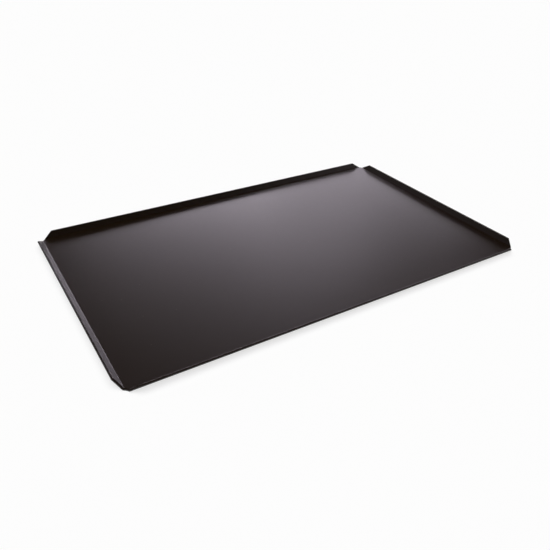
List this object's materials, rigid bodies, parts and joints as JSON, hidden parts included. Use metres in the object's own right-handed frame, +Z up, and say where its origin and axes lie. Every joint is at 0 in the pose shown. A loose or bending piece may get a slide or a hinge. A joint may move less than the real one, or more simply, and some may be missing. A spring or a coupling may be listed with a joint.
{
  "type": "baking sheet",
  "caption": "Shallow rectangular baking sheet: flat base, low outward-sloping edges folded up on all sides, notched corners, satin black non-stick finish.",
  "frame": {"origin": "centre of the underside of the flat base", "axes": "+X along the tray's length, +Y across its width, +Z up out of the baking face"},
  "size_m": [0.53, 0.325, 0.0087],
  "materials": {
    "rolled_aluminium": "mill",
    "nonstick_baking_side": "satin",
    "nonstick_underside": "satin"
  },
  "bodies": {
    "root": {"aluminium_sheet": "rolled_aluminium", "baking_side_coating": "nonstick_baking_side", "underside_coating": "nonstick_underside"}
  },
  "joints": []
}
